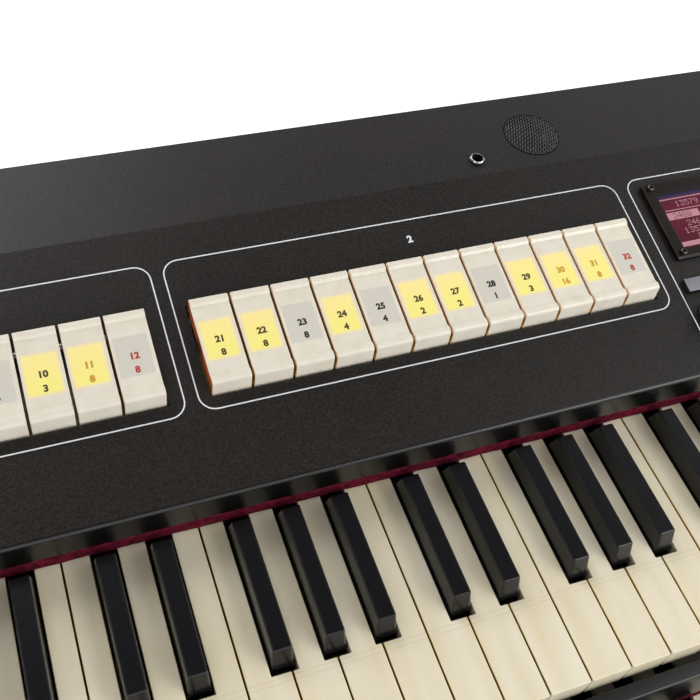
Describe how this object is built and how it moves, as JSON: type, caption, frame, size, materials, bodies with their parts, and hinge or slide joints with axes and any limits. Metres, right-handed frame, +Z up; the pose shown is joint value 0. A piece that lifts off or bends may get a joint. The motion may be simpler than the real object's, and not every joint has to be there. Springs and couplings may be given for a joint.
{
  "type": "electronic organ",
  "caption": "Portable two-manual electronic organ console with a sloped panel of tilting stop tabs, a display and a level rear deck.",
  "frame": {"origin": "on the table under the middle of the console", "axes": "+X to the player's right, -Y towards the player, +Z up"},
  "size_m": [1.016, 0.5314, 0.1979],
  "materials": {
    "case": "matt black paint",
    "panel": "fine textured charcoal paint",
    "gloss": "gloss black",
    "felt": "burgundy felt",
    "ivory": "satin ivory",
    "ebony": "semi gloss black",
    "tab": "satin ivory",
    "board": "bare board",
    "steel": "zinc plated",
    "chrome": "polished",
    "silver": "silver grey",
    "glass": "dark red display window",
    "knob": "black",
    "grille": "black mesh",
    "rubber": "matt",
    "circuit": "green solder mask"
  },
  "bodies": {
    "console": {"base_board": "case", "rear_panel": "case", "side_panel_left": "case", "side_panel_right": "case", "key_slip": "case", "top_panel": "panel", "panel_nosing": "gloss", "piston_rail": "gloss", "cheek_block_left": "gloss", "cheek_block_right": "gloss", "display_bezel": "gloss", "felt_strip_upper": "felt", "felt_strip_lower": "felt", "keybed_upper": "board", "keybed_lower": "board", "manual_support_rail": "board", "tab_chassis": "steel", "bezel_screw_1": "steel", "bezel_screw_2": "steel", "bezel_screw_3": "steel", "bezel_screw_4": "steel", "power_supply": "steel", "accessory_socket": "chrome", "display_module": "glass", "tweeter_left": "knob", "tweeter_right": "knob", "mains_inlet": "knob", "tweeter_grille_left": "grille", "tweeter_grille_right": "grille", "foot_strip_left": "rubber", "foot_strip_right": "rubber", "main_board": "circuit"},
    "natural_keys_ceg_upper": {"natural_keys_ceg_upper": "ivory"},
    "natural_keys_dfa_upper": {"natural_keys_dfa_upper": "ivory"},
    "sharp_keys_upper": {"sharp_keys_upper": "ebony"},
    "natural_keys_ceg_lower": {"natural_keys_ceg_lower": "ivory"},
    "natural_keys_dfa_lower": {"natural_keys_dfa_lower": "ivory"},
    "sharp_keys_lower": {"sharp_keys_lower": "ebony"},
    "tab_ii_01": {"tab_ii_01": "tab"},
    "tab_ii_02": {"tab_ii_02": "tab"},
    "tab_ii_03": {"tab_ii_03": "tab"},
    "tab_ii_04": {"tab_ii_04": "tab"},
    "tab_ii_05": {"tab_ii_05": "tab"},
    "tab_ii_06": {"tab_ii_06": "tab"},
    "tab_ii_07": {"tab_ii_07": "tab"},
    "tab_ii_08": {"tab_ii_08": "tab"},
    "tab_ii_09": {"tab_ii_09": "tab"},
    "tab_ii_10": {"tab_ii_10": "tab"},
    "tab_ii_11": {"tab_ii_11": "tab"},
    "tab_ii_12": {"tab_ii_12": "tab"},
    "tab_i_10": {"tab_i_10": "tab"},
    "tab_i_11": {"tab_i_11": "tab"},
    "tab_i_12": {"tab_i_12": "tab"},
    "tab_bank_i": {"tab_bank_i": "tab"},
    "tab_bank_pedal": {"tab_bank_pedal": "tab"},
    "thumb_pistons_upper": {"thumb_pistons_upper": "ivory"},
    "thumb_pistons_lower": {"thumb_pistons_lower": "ivory"},
    "menu_buttons": {"menu_buttons": "silver"},
    "volume_knob": {"volume_knob": "knob"},
    "power_switch": {"power_switch": "gloss"}
  },
  "joints": [
    {"name": "natural_keys_ceg_upper_hinge", "type": "hinge", "parent": "console", "child": "natural_keys_ceg_upper", "pos_m": [0, 0.12183, 0.1303], "axis": [1, 0, 0], "range_deg": [0, 2.6], "stiffness_Nm_per_rad": 40, "springref_deg": -5.73},
    {"name": "natural_keys_dfa_upper_hinge", "type": "hinge", "parent": "console", "child": "natural_keys_dfa_upper", "pos_m": [0, 0.13883, 0.1203], "axis": [1, 0, 0], "range_deg": [0, 2.45], "stiffness_Nm_per_rad": 40, "springref_deg": -5.73},
    {"name": "sharp_keys_upper_hinge", "type": "hinge", "parent": "console", "child": "sharp_keys_upper", "pos_m": [0, 0.15583, 0.1108], "axis": [1, 0, 0], "range_deg": [0, 2.75], "stiffness_Nm_per_rad": 40, "springref_deg": -5.73},
    {"name": "natural_keys_ceg_lower_hinge", "type": "hinge", "parent": "console", "child": "natural_keys_ceg_lower", "pos_m": [0, -0.02617, 0.0683], "axis": [1, 0, 0], "range_deg": [0, 2.6], "stiffness_Nm_per_rad": 40, "springref_deg": -5.73},
    {"name": "natural_keys_dfa_lower_hinge", "type": "hinge", "parent": "console", "child": "natural_keys_dfa_lower", "pos_m": [0, -0.00917, 0.0583], "axis": [1, 0, 0], "range_deg": [0, 2.45], "stiffness_Nm_per_rad": 40, "springref_deg": -5.73},
    {"name": "sharp_keys_lower_hinge", "type": "hinge", "parent": "console", "child": "sharp_keys_lower", "pos_m": [0, 0.00783, 0.0488], "axis": [1, 0, 0], "range_deg": [0, 2.75], "stiffness_Nm_per_rad": 40, "springref_deg": -5.73},
    {"name": "tab_ii_01_hinge", "type": "hinge", "parent": "console", "child": "tab_ii_01", "pos_m": [0, 0.14517, 0.17641], "axis": [1, 0, 0], "range_deg": [0, 4], "stiffness_Nm_per_rad": 0.3, "springref_deg": -11.46},
    {"name": "tab_ii_02_hinge", "type": "hinge", "parent": "console", "child": "tab_ii_02", "pos_m": [0, 0.14517, 0.17641], "axis": [1, 0, 0], "range_deg": [0, 4], "stiffness_Nm_per_rad": 0.3, "springref_deg": -11.46},
    {"name": "tab_ii_03_hinge", "type": "hinge", "parent": "console", "child": "tab_ii_03", "pos_m": [0, 0.14517, 0.17641], "axis": [1, 0, 0], "range_deg": [0, 4], "stiffness_Nm_per_rad": 0.3, "springref_deg": -11.46},
    {"name": "tab_ii_04_hinge", "type": "hinge", "parent": "console", "child": "tab_ii_04", "pos_m": [0, 0.14517, 0.17641], "axis": [1, 0, 0], "range_deg": [0, 4], "stiffness_Nm_per_rad": 0.3, "springref_deg": -11.46},
    {"name": "tab_ii_05_hinge", "type": "hinge", "parent": "console", "child": "tab_ii_05", "pos_m": [0, 0.14517, 0.17641], "axis": [1, 0, 0], "range_deg": [0, 4], "stiffness_Nm_per_rad": 0.3, "springref_deg": -11.46},
    {"name": "tab_ii_06_hinge", "type": "hinge", "parent": "console", "child": "tab_ii_06", "pos_m": [0, 0.14517, 0.17641], "axis": [1, 0, 0], "range_deg": [0, 4], "stiffness_Nm_per_rad": 0.3, "springref_deg": -11.46},
    {"name": "tab_ii_07_hinge", "type": "hinge", "parent": "console", "child": "tab_ii_07", "pos_m": [0, 0.14517, 0.17641], "axis": [1, 0, 0], "range_deg": [0, 4], "stiffness_Nm_per_rad": 0.3, "springref_deg": -11.46},
    {"name": "tab_ii_08_hinge", "type": "hinge", "parent": "console", "child": "tab_ii_08", "pos_m": [0, 0.14517, 0.17641], "axis": [1, 0, 0], "range_deg": [0, 4], "stiffness_Nm_per_rad": 0.3, "springref_deg": -11.46},
    {"name": "tab_ii_09_hinge", "type": "hinge", "parent": "console", "child": "tab_ii_09", "pos_m": [0, 0.14517, 0.17641], "axis": [1, 0, 0], "range_deg": [0, 4], "stiffness_Nm_per_rad": 0.3, "springref_deg": -11.46},
    {"name": "tab_ii_10_hinge", "type": "hinge", "parent": "console", "child": "tab_ii_10", "pos_m": [0, 0.14517, 0.17641], "axis": [1, 0, 0], "range_deg": [0, 4], "stiffness_Nm_per_rad": 0.3, "springref_deg": -11.46},
    {"name": "tab_ii_11_hinge", "type": "hinge", "parent": "console", "child": "tab_ii_11", "pos_m": [0, 0.14517, 0.17641], "axis": [1, 0, 0], "range_deg": [0, 4], "stiffness_Nm_per_rad": 0.3, "springref_deg": -11.46},
    {"name": "tab_ii_12_hinge", "type": "hinge", "parent": "console", "child": "tab_ii_12", "pos_m": [0, 0.14517, 0.17641], "axis": [1, 0, 0], "range_deg": [0, 4], "stiffness_Nm_per_rad": 0.3, "springref_deg": -11.46},
    {"name": "tab_i_10_hinge", "type": "hinge", "parent": "console", "child": "tab_i_10", "pos_m": [0, 0.14517, 0.17641], "axis": [1, 0, 0], "range_deg": [0, 4], "stiffness_Nm_per_rad": 0.3, "springref_deg": -11.46},
    {"name": "tab_i_11_hinge", "type": "hinge", "parent": "console", "child": "tab_i_11", "pos_m": [0, 0.14517, 0.17641], "axis": [1, 0, 0], "range_deg": [0, 4], "stiffness_Nm_per_rad": 0.3, "springref_deg": -11.46},
    {"name": "tab_i_12_hinge", "type": "hinge", "parent": "console", "child": "tab_i_12", "pos_m": [0, 0.14517, 0.17641], "axis": [1, 0, 0], "range_deg": [0, 4], "stiffness_Nm_per_rad": 0.3, "springref_deg": -11.46},
    {"name": "tab_bank_i_hinge", "type": "hinge", "parent": "console", "child": "tab_bank_i", "pos_m": [0, 0.14517, 0.17641], "axis": [1, 0, 0], "range_deg": [0, 4], "stiffness_Nm_per_rad": 2.5, "springref_deg": -11.46},
    {"name": "tab_bank_pedal_hinge", "type": "hinge", "parent": "console", "child": "tab_bank_pedal", "pos_m": [0, 0.14517, 0.17641], "axis": [1, 0, 0], "range_deg": [0, 4], "stiffness_Nm_per_rad": 2.5, "springref_deg": -11.46},
    {"name": "thumb_pistons_upper_slide", "type": "slide", "parent": "console", "child": "thumb_pistons_upper", "axis": [0, 1, 0], "range_m": [0, 0.0025], "stiffness_N_per_m": 300, "springref_m": -0.003},
    {"name": "thumb_pistons_lower_slide", "type": "slide", "parent": "console", "child": "thumb_pistons_lower", "axis": [0, 1, 0], "range_m": [0, 0.0025], "stiffness_N_per_m": 300, "springref_m": -0.003},
    {"name": "menu_buttons_slide", "type": "slide", "parent": "console", "child": "menu_buttons", "axis": [0, 0.1836, -0.983], "range_m": [0, 0.0012], "stiffness_N_per_m": 600, "springref_m": -0.002},
    {"name": "volume_knob_hinge", "type": "hinge", "parent": "console", "child": "volume_knob", "pos_m": [0.3082, 0.07703, 0.16978], "axis": [0, -0.1836, 0.983], "range_deg": [-150, 150]},
    {"name": "power_switch_hinge", "type": "hinge", "parent": "console", "child": "power_switch", "pos_m": [-0.316, 0.26017, 0.0673], "axis": [1, 0, 0], "range_deg": [-16, 0]}
  ]
}
